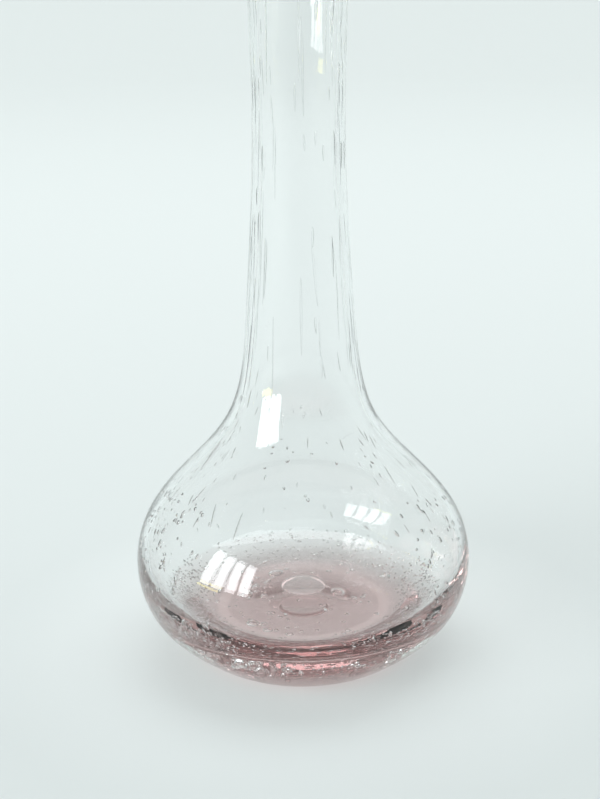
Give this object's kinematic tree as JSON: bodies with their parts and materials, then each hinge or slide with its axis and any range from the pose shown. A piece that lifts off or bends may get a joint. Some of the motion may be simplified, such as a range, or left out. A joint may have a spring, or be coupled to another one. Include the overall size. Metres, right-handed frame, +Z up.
{
  "type": "hand blown glass bud vase",
  "caption": "Hand blown bubble-glass bud vase: squat round bulb with an amethyst base under a long slim clear neck.",
  "frame": {"origin": "centre of the resting ring under the base, on the table", "axes": "+Z up along the vase's axis, from the base to the mouth"},
  "size_m": [0.1, 0.1, 0.25],
  "materials": {
    "clear_glass": "clear, fire-polished, full of small bubbles",
    "amethyst_glass": "transparent dusty amethyst pink"
  },
  "bodies": {
    "root": {"clear_casing": "clear_glass", "clear_lining": "clear_glass", "amethyst_cup": "amethyst_glass", "punty_seal": "clear_glass"}
  },
  "joints": []
}
